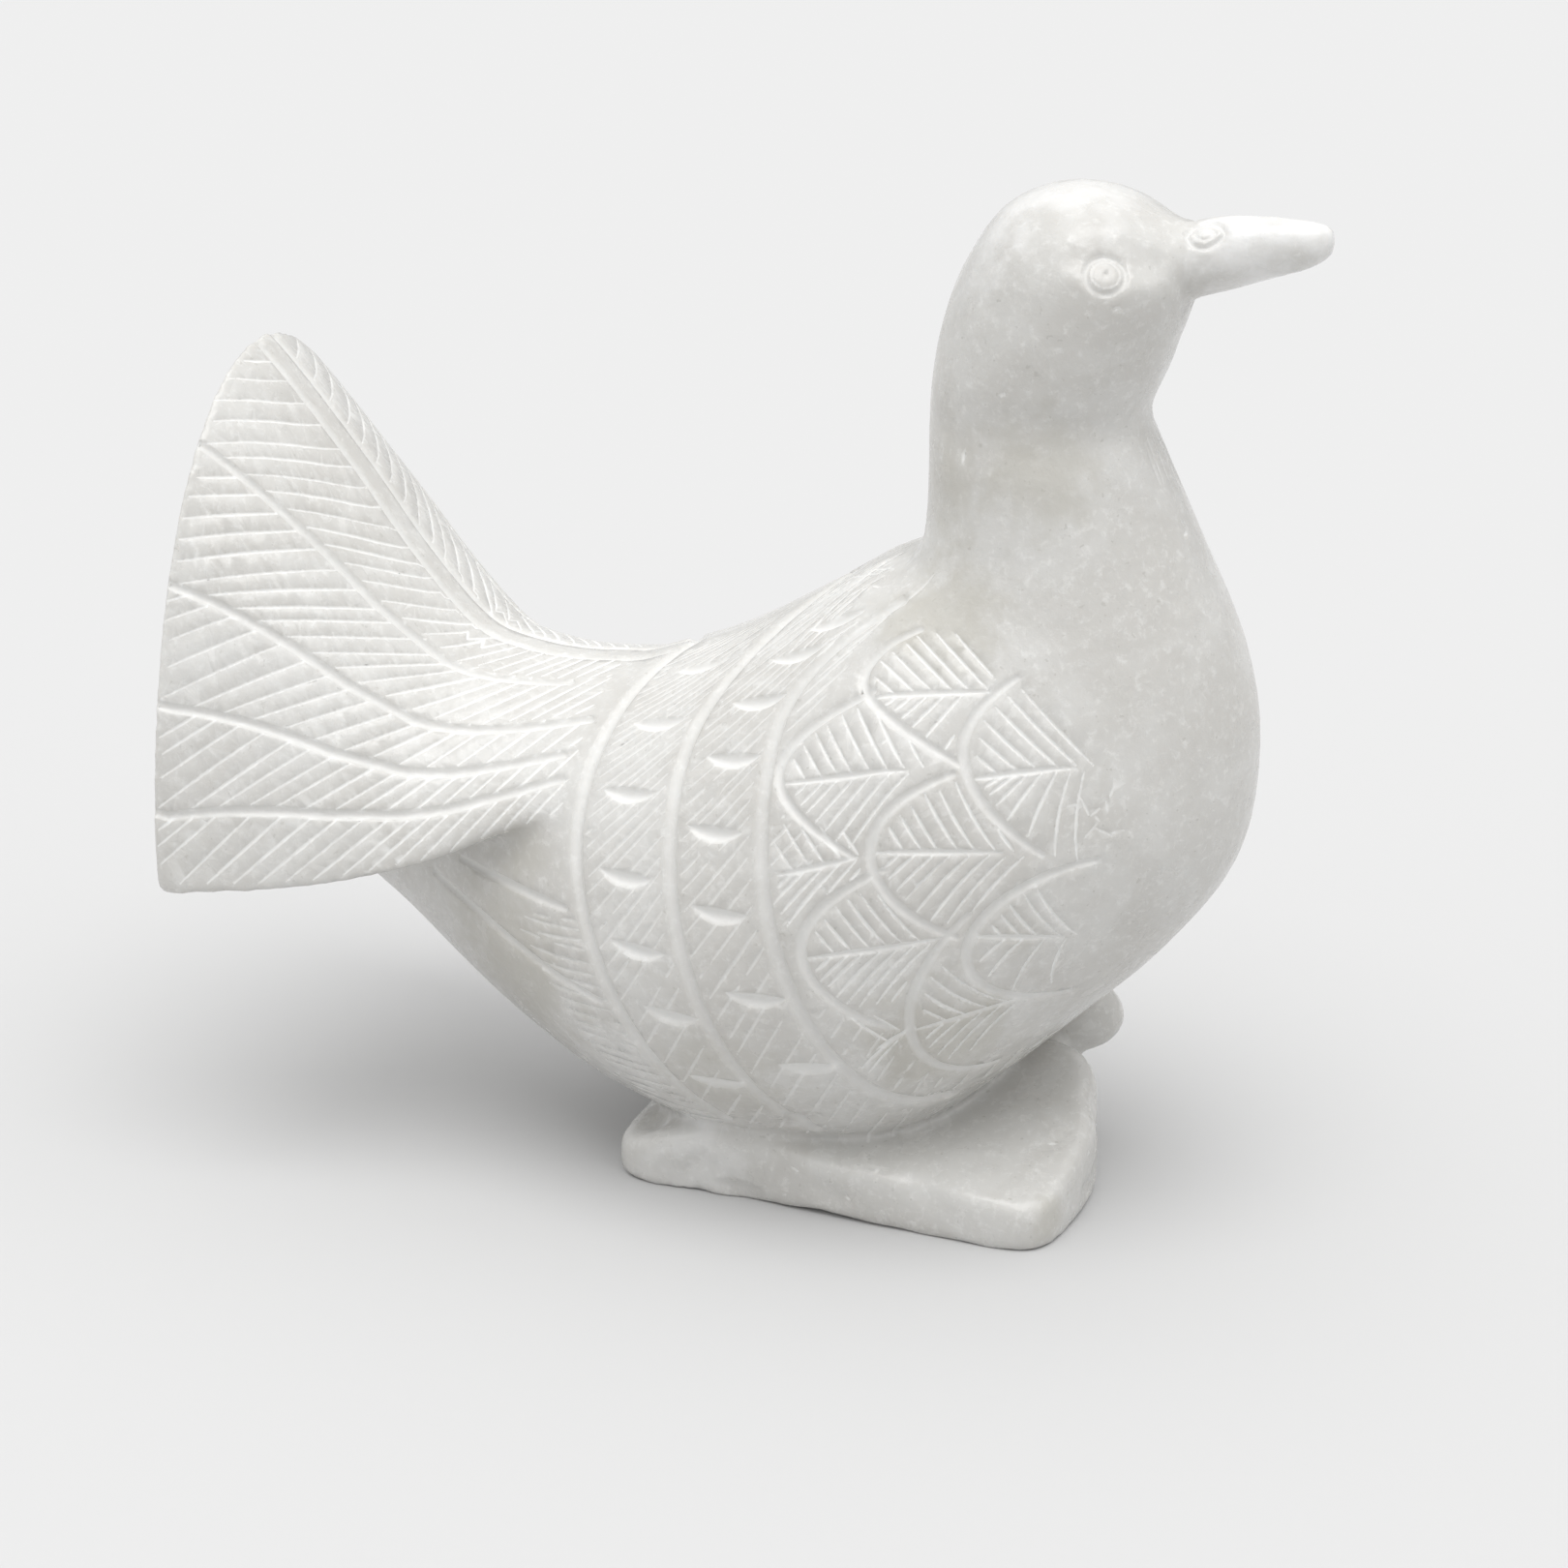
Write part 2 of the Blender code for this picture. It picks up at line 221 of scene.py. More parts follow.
def foot():
    bpy.ops.mesh.primitive_cube_add(size=2)
    form = bpy.context.object
    bm = bmesh.new()
    bm.from_mesh(form.data)
    bmesh.ops.subdivide_edges(bm, edges=bm.edges, cuts=FOOT_CUTS, use_grid_fill=True)
    for vert in bm.verts:
        u, v, w = vert.co / sum(abs(c) ** FOOT_SQUARE for c in vert.co) ** (1 / FOOT_SQUARE)
        front = min(1, max(0, (u + 0.2) / 1.1))
        back = max(0, -u - 0.55) / 0.45
        cleft = math.exp(-(((v - CLEFT_PLACE) / CLEFT_WIDTH) ** 2)) * max(0, u)
        lobe = front * min(1, max(0, (0.35 - v) / 0.5))
        far_corner = front * min(1, max(0, (v - 0.5) / 0.3))
        top = FOOT_HEIGHT - FRONT_DROP * front + (FOOT_RISE + FRONT_DROP) * front * (v + 1) / 2
        top -= BACK_DROP * back + CLEFT_DEPTH * cleft
        x = FOOT_LENGTH / 2 * u + 0.001 - CLEFT_RUN * cleft + LOBE_RUN * lobe
        x -= CORNER_RUN * far_corner
        y = FOOT_WIDTH / 2 * v + 0.002 - 0.008 * front * max(0, -v)
        lump = FOOT_LUMP * math.sin(70 * x + 1) * math.cos(90 * y + 2) * min(1, 2 + 2 * w)
        z = max(0, (w + 0.72) / 1.72)
        hollow = FOOT_HOLLOW * math.exp(-(((u - 0.02) / 0.12) ** 2)) * max(0, -v - 0.6) / 0.4
        vert.co = (x + lump, y + lump, z * (top + lump) + (1 - z) * hollow)
    bm.to_mesh(form.data)
    bm.free()
    bpy.ops.mesh.primitive_uv_sphere_add(segments=32, ring_count=16, radius=1)
    toe = bpy.context.object
    toe.location = FOOT_TOE_PLACE
    toe.scale = FOOT_TOE_REACH
    return [form, toe]


rock_foot = foot()


# The block
# Nothing is joined in the real carving: the forms above are one piece of stone. They are merged
# into one even surface here, fine enough to take the smallest tool cut.

FORM_CELL = 0.0017
EDGE_ROUND = 10
ROOT_BLEND = 70
FLAT_BELOW = 0.0006
SMOOTHING = 0.5
ROOT_MIDDLE = (-118, 118)  # x and height about which the fan grows out of the rump
ROOT_REACH = (38, 25)


def points_of(mesh):
    place = np.empty(len(mesh.vertices) * 3)
    mesh.vertices.foreach_get("co", place)
    return place.reshape(-1, 3)


def applied(form, kind, **settings):
    """Gives the form the mesh that a modifier with these settings makes of it."""
    made = form.modifiers.new(kind.lower(), kind)
    for name, value in settings.items():
        setattr(made, name, value)
    graph = bpy.context.evaluated_depsgraph_get()
    rough_mesh = form.data
    form.data = bpy.data.meshes.new_from_object(form.evaluated_get(graph))
    form.modifiers.clear()
    bpy.data.meshes.remove(rough_mesh)


def joined(forms):
    bpy.ops.object.select_all(action="DESELECT")
    for form in forms:
        form.select_set(True)
    bpy.context.view_layer.objects.active = forms[0]
    bpy.ops.object.join()
    block = bpy.context.object
    applied(block, "REMESH", mode="VOXEL", voxel_size=FORM_CELL)
    applied(block, "SMOOTH", factor=SMOOTHING, iterations=EDGE_ROUND)
    root = block.vertex_groups.new(name="root")
    place = points_of(block.data) / GRID
    along = 1 - abs(place[:, 0] - ROOT_MIDDLE[0]) / ROOT_REACH[0]
    above = (place[:, 2] - ROOT_MIDDLE[1]) / ROOT_REACH[1]
    for i in np.nonzero((along > 0) & (above > 0))[0].tolist():
        root.add([i], min(1, 2 * along[i]) * min(1, above[i]), "REPLACE")
    applied(block, "SMOOTH", factor=SMOOTHING, iterations=ROOT_BLEND, vertex_group="root")
    block.vertex_groups.clear()
    place = points_of(block.data)
    place[place[:, 2] < FLAT_BELOW, 2] = 0
    block.data.vertices.foreach_set("co", place.ravel())
    return block


for form in (bird_trunk, bird_tail):
    form.location.z = BIRD_LIFT
dove = joined([*rock_foot, bird_trunk, bird_tail])
dove.name = "marble_dove"
dove.data.name = "marble_dove"
surface = BVHTree.FromObject(dove, bpy.context.evaluated_depsgraph_get())


# The long channels
# Three broad round-bottomed channels run round each side of the body, from the back to the belly,
# like the edges of folded wings. They are cut with a round chisel and left whiter than the land.

BODY_AXIS = 120
BAND_WIDTH = 0.0062
BAND_DEPTH = 0.0018
BAND_WHITE = 0.35  # how rough and white the bed is left, from 0 to 1
UNDER_BELLY = 120  # past this angle, a face that doesn't look down belongs to the rock foot
LOOKS_DOWN = -0.3  # the most upright normal, by its z, that still looks down
AROUND = 1.7  # about how many squares of the grid lie along one degree round the body

BODY_CHANNELS = (
    # x furthest back, its angle, how far its upper end is forward, that end's angle, how late it
    # turns forward, how far its belly end is forward, that end's angle
    (-91, 62, 20, 0, 2, 56, 142),
    (-50, 53, 44, 0, 2, 50, 146),
    (-12, 52, 38, 21, 3, 60, 148),
)

SIDES = (-1, 1)
grooves = []  # each is (points along it, half width, depth, taper, how rough and white its bed is)
hollows = []  # the same, for broad smooth hollows that the cuts are made over


def steps(start, stop, count):
    return [start + (stop - start) * i / (count - 1) for i in range(count)]


def on_body(x, angle, side):
    """The point of the surface at x, this many degrees round the body from the back's crest, or
    None where the rock foot covers the belly there."""
    turn = math.radians(angle)
    start = Vector((x * GRID, 0, BODY_AXIS * GRID + BIRD_LIFT))
    out = Vector((0, side * math.sin(turn), math.cos(turn)))
    point, normal = surface.ray_cast(start, out)[:2]
    return None if angle > UNDER_BELLY and normal.z > LOOKS_DOWN else point


def channel_x(row, angle):
    x, middle, upper_run, upper, late, belly_run, belly = row
    if angle < middle:
        return x + upper_run * (max(0, middle - angle) / (middle - upper)) ** late
    return x + belly_run * ((angle - middle) / (belly - middle)) ** 2


def groove(line, half_width, depth, taper=0.0, rough=1.0, kept=grooves):
    """Keeps the runs of the line that lie on the carving."""
    run = []
    for point in [*line, None]:
        if point is not None:
            run.append(point)
            continue
        if len(run) > 1:
            kept.append((run, half_width, depth, taper, rough))
        run = []


for side in SIDES:
    for row in BODY_CHANNELS:
        line = [on_body(channel_x(row, angle), angle, side) for angle in steps(row[3], row[6], 70)]
        groove(line, BAND_WIDTH / 2, BAND_DEPTH, rough=BAND_WHITE)


# The lens cuts
# Short cuts stand in rows between the channels, each a single scoop of a round chisel, deepest in
# the middle and pointed at both ends.

CUT_LENGTH = 0.024
CUT_WIDTH = 0.0068
CUT_DEPTH = 0.0022
CUT_WHITE = 0.7
CUT_SAG = 1.2  # in degrees round the body

LENS_CUTS = (
    (-57, 20), (-66, 39), (-70, 59), (-66, 79), (-59, 95), (-46, 109), (-31, 126),
    (0, 21), (-12, 27), (-23, 37), (-28, 50), (-30, 66), (-25, 83), (-11, 101), (6, 119),
)  # fmt: skip

for side in SIDES:
    for x, angle in LENS_CUTS:
        half = CUT_LENGTH / GRID / 2
        line = [
            on_body(x + run, angle + CUT_SAG - CUT_SAG * (run / half) ** 2, side)
            for run in steps(-half, half, 11)
        ]
        groove(line, CUT_WIDTH / 2, CUT_DEPTH, taper=1, rough=CUT_WHITE)


# The shoulder feathers
# Over each shoulder lie rows of scale feathers: a bow that opens forward, a spine from its middle,
# and slanting barbs on both sides of the spine, all cut into the polished stone.

LINE_WIDTH = 0.0046
LINE_DEPTH = 0.0015
LINE_WHITE = 0.5
BOW_TAPER = 0.35
SPINE_WIDTH = 0.0028
SPINE_DEPTH = 0.0012
SPINE_WHITE = 0.8
SPINE_TAPER = 0.7
BARB_WIDTH = 0.0015
BARB_DEPTH = 0.0008
BARB_GAP = 6.2
BARB_TAPER = 0.6
BARB_START = 1.2
BARB_REACH = 36
BARB_CURL = 0.12
BARB_SPAN = 11  # how many degrees a feather with no bow of its own shows
MARGIN_IN_BOW = 3.2
MARGIN_UNDER_BOW = -3.5
MARGIN_AT_CHANNEL = 5
ROW_STEP = 6  # a bow that stands further forward than this lies over the feather

SHOULDER_FEATHERS = (
    # x of the bow's middle, its angle, half the angle it spans, how far its ends run forward, how
    # much further the lower one runs, the spine's angle, its length, the angle it turns by
    (-7, 53, 15, 32, 0, 56, 50, -5),
    (-4, 74, 0, 0, 0, 74, 32, -6),
    (7, 89, 19, 30, 0, 91, 50, -7),
    (31, 115, 0, 0, 0, 115, 14, -6),
    (21, 37.5, 10.8, 28, 12, 40, 46, -5),
    (32, 67, 17, 28, 2, 67, 45, -4),
    (44, 110, 32, 22, 0, 110, 36, -2),
    (61, 47, 15, 21.5, 7.5, 51, 38, -8),
    (65, 87.5, 27, 36, -6, 83.5, 31, 1),
)

# How far the barbs of each feather turn from its spine, in degrees: above it, and below it at its
# root and at its end.
BARB_LEANS = (
    (45, 44, 48), (45, 44, 48), (45, 44, 48), (45, 44, 48), (27, 38, 58),
    (48, 44, 50), (50, 44, 50), (24, 30, 80), (58, 44, 70),
)  # fmt: skip

luck = random.Random(7)


def in_front_of_bow(feather, x, angle, margin):
    bow_x, middle, span, run, skew = feather[:5]
    share = (angle - middle) / span if span else 2
    return abs(share) < 1 and x > bow_x + (run * share + skew) * share + margin


def barb_reaches(feather, x, angle):
    """Whether a barb of this feather may lie here: in its own bow, and not under another's."""
    bow_x, middle, span = feather[:3]
    if x < channel_x(BODY_CHANNELS[2], angle) + MARGIN_AT_CHANNEL:
        return False
    if span and not in_front_of_bow(feather, x, angle, MARGIN_IN_BOW):
        return False
    if not span and abs(angle - middle) > BARB_SPAN:
        return False
    return not any(
        in_front_of_bow(other, x, angle, MARGIN_UNDER_BOW)
        for other in SHOULDER_FEATHERS
        if other[0] > bow_x + ROW_STEP
    )


def barb(feather, along, lean, up):
    """The points of one barb, from the spine back and away from it."""
    x, angle, spine, turn = feather[0], *feather[5:]
    at_x, at_angle = x + along, angle + turn * along / spine
    points = []
    for reach in steps(BARB_START, BARB_REACH, 25):
        slope = lean * (1 + BARB_CURL * (reach / BARB_REACH))
        place = (at_x - reach * math.cos(slope), at_angle - up * reach * math.sin(slope) / AROUND)
        if not barb_reaches(feather, *place):
            if points:
                break
            continue
        points.append(place)
    return points


for side in SIDES:
    for feather, (lean_above, lean_root, lean_end) in zip(SHOULDER_FEATHERS, BARB_LEANS):
        x, angle, span, run, skew, spine_angle, spine, turn = feather
        if span:
            line = [
                on_body(x + (run * share + skew) * share, angle + span * share, side)
                for share in steps(-1, 1, 31)
            ]
            groove(line, LINE_WIDTH / 2, LINE_DEPTH, taper=BOW_TAPER, rough=LINE_WHITE)
        line = [
            on_body(x + spine * share, spine_angle + turn * share, side) for share in steps(0.04, 1, 12)
        ]
        groove(line, SPINE_WIDTH / 2, SPINE_DEPTH, taper=SPINE_TAPER, rough=SPINE_WHITE)
        for up in (1, -1):
            along = 5.5 + luck.uniform(0, 2)
            while along < spine * 1.12 + 3:
                share = along / spine
                lean = lean_above if up > 0 else lean_root + (lean_end - lean_root) * min(1, share) ** 2
                line = [on_body(*place, side) for place in barb(feather, along, math.radians(lean), up)]
                if len(line) > 3:
                    width = BARB_WIDTH * luck.uniform(0.8, 1.15)
                    groove(line, width / 2, BARB_DEPTH * luck.uniform(0.8, 1.2), taper=BARB_TAPER)
                along += BARB_GAP * luck.uniform(0.85, 1.15) * (0.75 if lean_end > 75 and up < 0 else 1)


# The tool hatching of the body
# Between the channels the stone is scored with fine slanting cuts, each a light stroke of a
# pointed tool. They rise forward, and steepen towards the belly.

HATCH_WIDTH = 0.0014
HATCH_DEPTH = 0.00045
HATCH_GAP = 4.3
HATCH_SKIPS = 0.45  # the share of the strokes that skip once
HATCH_TAPER = 0.6
HATCH_WHITE = 0.6
HATCH_SLOPE = 36  # in degrees, near the back
HATCH_STEEPER = 24  # how much more it is near the belly
HATCH_REACH = 60
HATCH_FRONT_REACH = 22
HATCH_MARGIN = -4  # from the bows of the shoulder feathers


def hatch_cut(places, side, width, depth):
    """One light stroke, which sometimes skips where the tool jumped."""
    if len(places) < 4:
        return
    whole = [on_body(*place, side) for place in places]
    if luck.random() < HATCH_SKIPS:
        skip = luck.randint(2, len(whole) - 1)
        whole[skip] = None
    half_width = width * luck.uniform(0.75, 1.2) / 2
    groove(whole, half_width, depth * luck.uniform(0.6, 1.25), HATCH_TAPER, HATCH_WHITE)


for side in SIDES:
    for band, row in enumerate(BODY_CHANNELS):
        upper, belly = row[3], row[6]
        angle = upper + 4
        while angle < belly + 14:
            slope = math.radians(HATCH_SLOPE + HATCH_STEEPER * min(1, max(0, (angle - 25) / 90)))
            x = channel_x(row, angle) + 3.5 + luck.uniform(0, 3)
            places = []
            for reach in steps(0, HATCH_REACH, 31):
                at_x = x + reach * math.cos(slope)
                at_angle = angle - reach * math.sin(slope) / AROUND
                if at_angle < 5:
                    break
                if band < 2 and at_x > channel_x(BODY_CHANNELS[band + 1], at_angle) - 3.5:
                    break
                if band == 2 and (
                    reach > HATCH_FRONT_REACH
                    or any(in_front_of_bow(f, at_x, at_angle, HATCH_MARGIN) for f in SHOULDER_FEATHERS)
                ):
                    break
                places.append((at_x, at_angle))
            hatch_cut(places, side, HATCH_WIDTH, HATCH_DEPTH)
            angle += HATCH_GAP / AROUND / math.cos(slope) * luck.uniform(0.8, 1.2)


# The tail's feather lines
# Long lines part the fan into feathers: two beside the crest and four down each flank, with
# slanting barbs cut between them. The strokes rise to the line above them.

CREST_LINE = 6.5
TAIL_END = -253
TAIL_LINES = ((21, 32, -114), (41, 53, -98), (57, 68, -104), (70, 81, -102))  # root, end, start x
STRIP_RUNS = (0.63, 0.96, 0.96, 1.0, 1.1)  # how far a barb leans forward, to the strip's width
STRIP_GAPS = (7.6, 9.8, 11.6, 11.2, 10.8)
BEYOND_TAIL = (-314, 376, 105, 112)  # where the fan would be if it ran on past its end
TAIL_BARB_WIDTH = 0.0014
TAIL_BARB_DEPTH = 0.00045
TAIL_BARB_TAPER = 0.5
LINE_SWEEP = 1.3  # how late the lines spread, where 1 is evenly
LINE_TAPER = 0.15
CREST_ANGLE = 5  # where the barbs end at the crest, in degrees
EDGE_ANGLE = 89
FACES_APART = 0.02  # past this the two ways of finding the outer face don't meet on it


def fan_point(x, angle, side):
    """The point of the fan's own curve at x, this many degrees from its crest."""
    rows = np.array([*TAIL_STATIONS, BEYOND_TAIL], float)[::-1]
    crest, edge, half_width = (np.interp(x, rows[:, 0], rows[:, i]) for i in (1, 2, 3))
    turn = math.radians(angle)
    near = Vector((x, side * half_width * math.sin(turn), edge + (crest - edge) * math.cos(turn)))
    near *= GRID
    near.z += BIRD_LIFT
    return near


def on_tail(x, angle, side):
    return surface.find_nearest(fan_point(x, angle, side))[0]


def outside(near, side):
    """The point of the fan's outer face that lies out and up to this side from here."""
    out = (near - Vector((near.x, 0, 0.12))).normalized()
    round_out = surface.ray_cast(near + 0.06 * out, -out)[0]
    level_out = surface.ray_cast(Vector((near.x, side * 0.3, near.z)), Vector((0, -side, 0)))[0]
    if round_out is None or level_out is None or (round_out - level_out).length > FACES_APART:
        return round_out
    return surface.find_nearest(round_out.lerp(level_out, 0.5))[0]


def line_angle(number, x):
    """The angle from the crest of one of the tail's lines at x: 0 is the crest, 5 the lower edge."""
    if number == 0:
        return CREST_ANGLE
    if number == 5:
        return EDGE_ANGLE
    root, end, start = TAIL_LINES[number - 1]
    share = min(1, max(0, (start - x) / (start - TAIL_END)))
    return root + (end - root) * share**LINE_SWEEP


for side in SIDES:
    for root, end, start in TAIL_LINES:
        line = [
            on_tail(start + (TAIL_END - start) * share, root + (end - root) * share**LINE_SWEEP, side)
            for share in steps(0, 1, 30)
        ]
        groove(line, LINE_WIDTH / 2, LINE_DEPTH, taper=LINE_TAPER, rough=LINE_WHITE)
    line = [
        surface.ray_cast(Vector((x * GRID, side * CREST_LINE * GRID, 0.5)), Vector((0, 0, -1)))[0]
        for x in steps(-78, -256, 40)
    ]
    groove(line, LINE_WIDTH / 2 * 0.9, LINE_DEPTH, rough=LINE_WHITE)
    for strip, (lean, gap) in enumerate(zip(STRIP_RUNS, STRIP_GAPS)):
        x = TAIL_END - 60
        while x < -100:
            low = fan_point(x, line_angle(strip + 1, x), side)
            width = (fan_point(x, line_angle(strip, x), side) - low).length / GRID
            to_x = x + lean * width
            high = fan_point(to_x, line_angle(strip, to_x), side)
            places = [low.lerp(high, share) for share in steps(0.04, 1, 14)]
            line = [outside(p, side) for p in places if TAIL_END < p.x / GRID < -98]
            if len(line) > 2:
                wide = TAIL_BARB_WIDTH * luck.uniform(0.7, 1.15)
                deep = TAIL_BARB_DEPTH * luck.uniform(0.7, 1.2)
                groove(line, wide / 2, deep, taper=TAIL_BARB_TAPER)
            x += gap * (0.85 + 0.15 * (x + 96) / (TAIL_END + 96)) * luck.uniform(0.9, 1.1)


# The rump
# Under the fan two lines run forward to the first channel, and short level cuts fill the rump
# down to the belly.

RUMP_LINES = ((-150, 91, -92, 91), (-166, 106, -77, 112))
RUMP_TAPER = 0.3
RUMP_CUTS = (93, 152)  # the angles between which the short cuts lie
RUMP_CUT_LENGTHS = (22, 34)
RUMP_CUT_GAP = 4.2

for side in SIDES:
    for x, angle, to_x, to_angle in RUMP_LINES:
        line = [
            on_body(x + (to_x - x) * share, angle + (to_angle - angle) * share, side)
            for share in steps(0, 1, 16)
        ]
        groove(line, LINE_WIDTH / 2, LINE_DEPTH, taper=RUMP_TAPER, rough=LINE_WHITE)
    angle = RUMP_CUTS[0]
    while angle < RUMP_CUTS[1]:
        end_x = channel_x(BODY_CHANNELS[0], angle) - 4
        length = luck.uniform(*RUMP_CUT_LENGTHS)
        places = [(end_x - length * (1 - share), angle + 3.4 * (1 - share)) for share in steps(0, 1, 10)]
        hatch_cut(places, side, BARB_WIDTH * 0.9, BARB_DEPTH * 0.8)
        angle += RUMP_CUT_GAP / AROUND * luck.uniform(0.9, 1.3)


# The back of the neck
# Where the neck meets the back, short thin strokes cross each other in no order, left from
# working the stone down.

NECK_BACK = 16
STROKE_WIDTH = 0.0014
STROKE_DEPTH = 0.0006
STROKE_TAPER = 0.8
NECK_STROKES = 20
NECK_STROKE_LENGTHS = (9, 22)
NECK_SLOPES = (20, 34, 48, -28)

for side in SIDES:
    for _ in range(NECK_STROKES):
        x = luck.uniform(-18, 10)
        angle = luck.uniform(6, 30)
        length = luck.uniform(*NECK_STROKE_LENGTHS)
        slope = math.radians(luck.choice(NECK_SLOPES) + luck.uniform(-6, 6))
        line = [
            on_body(x + run * math.cos(slope), angle - run * math.sin(slope) / AROUND, side)
            for run in steps(0, length, 8)
            if x + run * math.cos(slope) < NECK_BACK
        ]
        groove(line, STROKE_WIDTH / 2, STROKE_DEPTH, taper=STROKE_TAPER, rough=0.8)


# The eye and nostril
# The eye is a ring cut round a low bead with a dot in it, in a shallow hollow under a soft brow.
# The nostril is an almond ring round a smaller almond, at the root of the beak.

EYE_PLACE = (97, 40, 364)
EYE_WIDTH = 0.018
EYE_GROOVE = 0.0030
NOSTRIL_PLACE = (124, 12, 376)
RING_WHITE = 0.35
EYE_RINGS = (
    # radius, width, depth
    (EYE_WIDTH / 2 - EYE_GROOVE / 2, EYE_GROOVE, 0.0010),
    (0.0052, 0.0011, 0.0003),
)
EYE_DOT = (0.0009, 0.0007)  # half width, depth
BROW_OVER_EYE = 0.006
BROW_REACH = (-0.012, 0.024)
BROW_HOLLOW = (0.013, 0.0028)  # half width, depth
NOSTRIL_RINGS = (
    # how far it reaches along and up, width, depth
    ((0.0070, 0.0060), 0.0022, 0.0011),
    ((0.0038, 0.0024), 0.0010, 0.0005),
)
NOSTRIL_POINTED = 0.8  # where 0 is an oval


def ring_of(middle, across, up, reaches, points=33):
    """The surface's points on an oval round the middle."""
    made = []
    for turn in steps(0, 2 * math.pi, points):
        place = middle + across * reaches[0] * math.cos(turn) + up * reaches[1] * math.sin(turn)
        made.append(surface.find_nearest(place)[0])
    return made


for side in SIDES:
    x, y, z = EYE_PLACE
    middle = Vector((x, side * y, z)) * GRID
    middle.z += BIRD_LIFT
    middle, normal = surface.find_nearest(middle)[:2]
    across = normal.cross(Vector((0, 0, 1))).normalized()
    up = across.cross(normal)
    front = Vector((1, 0, 0)).dot(across) * across
    hollow = [
        surface.find_nearest(middle + BROW_OVER_EYE * up + front * run)[0]
        for run in steps(*BROW_REACH, 9)
    ]
    groove(hollow, *BROW_HOLLOW, taper=0.4, rough=0, kept=hollows)
    for radius, width, depth in EYE_RINGS:
        groove(ring_of(middle, across, up, (radius, radius)), width / 2, depth, rough=RING_WHITE)
    groove([middle, middle + 0.0004 * up], *EYE_DOT, rough=0.4)
    x, y, z = NOSTRIL_PLACE
    middle = Vector((x, side * y, z)) * GRID
    middle.z += BIRD_LIFT
    middle, normal = surface.find_nearest(middle)[:2]
    along = Vector((1, 0, 0.1)).normalized()
    above = normal.cross(along) * (1 if normal.cross(along).z > 0 else -1)
    for reaches, width, depth in NOSTRIL_RINGS:
        line = [
            surface.find_nearest(
                middle
                + along * reaches[0] * math.cos(turn)
                + above * reaches[1] * math.sin(turn) * abs(math.sin(turn)) ** NOSTRIL_POINTED
            )[0]
            for turn in steps(0, 2 * math.pi, 41)
        ]
        groove(line, width / 2, depth, rough=RING_WHITE)


# The cheek and the beak's root
# The cheek stands a little over the neck, with a soft hollow below it, and the beak grows out of
# the round head with a shallow crease. Faint upright scratches are left on the throat.

CHEEK_HEIGHT = 301
BEAK_ROOT = (116, 364)
CHEEK_FOLD = (0.017, 0.0024)  # half width, depth
BEAK_CREASE = (0.0045, 0.0011)
THROAT_SCRATCHES = (1, 6, 9)  # how far each is from the middle

for side in SIDES:
    start = Vector((66, 0, CHEEK_HEIGHT)) * GRID
    start.z += BIRD_LIFT
    line = []
    for turn in steps(math.radians(20), math.radians(165), 19):
        out = Vector((math.cos(turn), side * math.sin(turn), 0))
        line.append(surface.ray_cast(start, out)[0])
    groove(line, *CHEEK_FOLD, taper=0.9, rough=0, kept=hollows)
    line = []
    for turn in steps(math.radians(12), math.radians(168), 15):
        start = Vector((BEAK_ROOT[0] + 4 * math.sin(turn), 0, BEAK_ROOT[1])) * GRID
        start.z += BIRD_LIFT
        out = Vector((0, side * math.sin(turn), math.cos(turn)))
        line.append(surface.ray_cast(start, out)[0])
    groove(line, *BEAK_CREASE, taper=0.3, rough=0, kept=hollows)
    for across in THROAT_SCRATCHES:
        top, low = Vector((104, across * side, 303)), Vector((117, (across + 3) * side, 275))
        line = [
            surface.find_nearest(top.lerp(low, share) * GRID + Vector((0, 0, BIRD_LIFT)))[0]
            for share in steps(luck.uniform(0, 0.3), luck.uniform(0.7, 1.1), 9)
        ]
        groove(line, STROKE_WIDTH / 2, STROKE_DEPTH * 0.6, taper=STROKE_TAPER, rough=0.4)


# The hollows of the rock
# The rough foot is dressed with a few broad shallow scoops, which leave soft facets and a wavy
# lower edge.

SCOOPS = 44
SCOOP_LENGTHS = (0.008, 0.022)
SCOOP_HALF_WIDTHS = (0.005, 0.010)
SCOOP_DEPTHS = (0.0009, 0.0020)
SCOOP_TAPER = 0.5
ROCK_REACH = (0.095, 0.072)  # an oval round the rock, on which its marks are laid out

for _ in range(SCOOPS):
    turn = luck.uniform(0, 2 * math.pi)
    height = luck.choice((luck.uniform(0.002, 0.012), luck.uniform(0.012, 0.045)))
    tilt = luck.uniform(-1.2, 1.2)
    length = luck.uniform(*SCOOP_LENGTHS)
    line = []
    for run in steps(-length / 2, length / 2, 7):
        place = Vector((
            ROCK_REACH[0] * math.cos(turn + run * math.cos(tilt) / 0.08),
            ROCK_REACH[1] * math.sin(turn + run * math.cos(tilt) / 0.08),
            max(0.001, height + run * math.sin(tilt)),
        ))
        line.append(surface.find_nearest(place)[0])
    half_width = luck.uniform(*SCOOP_HALF_WIDTHS)
    groove(line, half_width, luck.uniform(*SCOOP_DEPTHS), SCOOP_TAPER, 0, hollows)


# The chips
# Small chips and scratches are left here and there, most of them along the foot's edges, and a
# patch of scratches on the near side of the breast.

CHIPS = 46
CHIP_LENGTHS = (0.0015, 0.005)
CHIP_WIDTHS = (0.0012, 0.0022)
CHIP_DEPTHS = (0.0003, 0.0008)
SCRATCHED = (0.1075, -0.0700, 0.1780)
SCRATCHES = 9
SCRATCH_SPREAD = 0.009


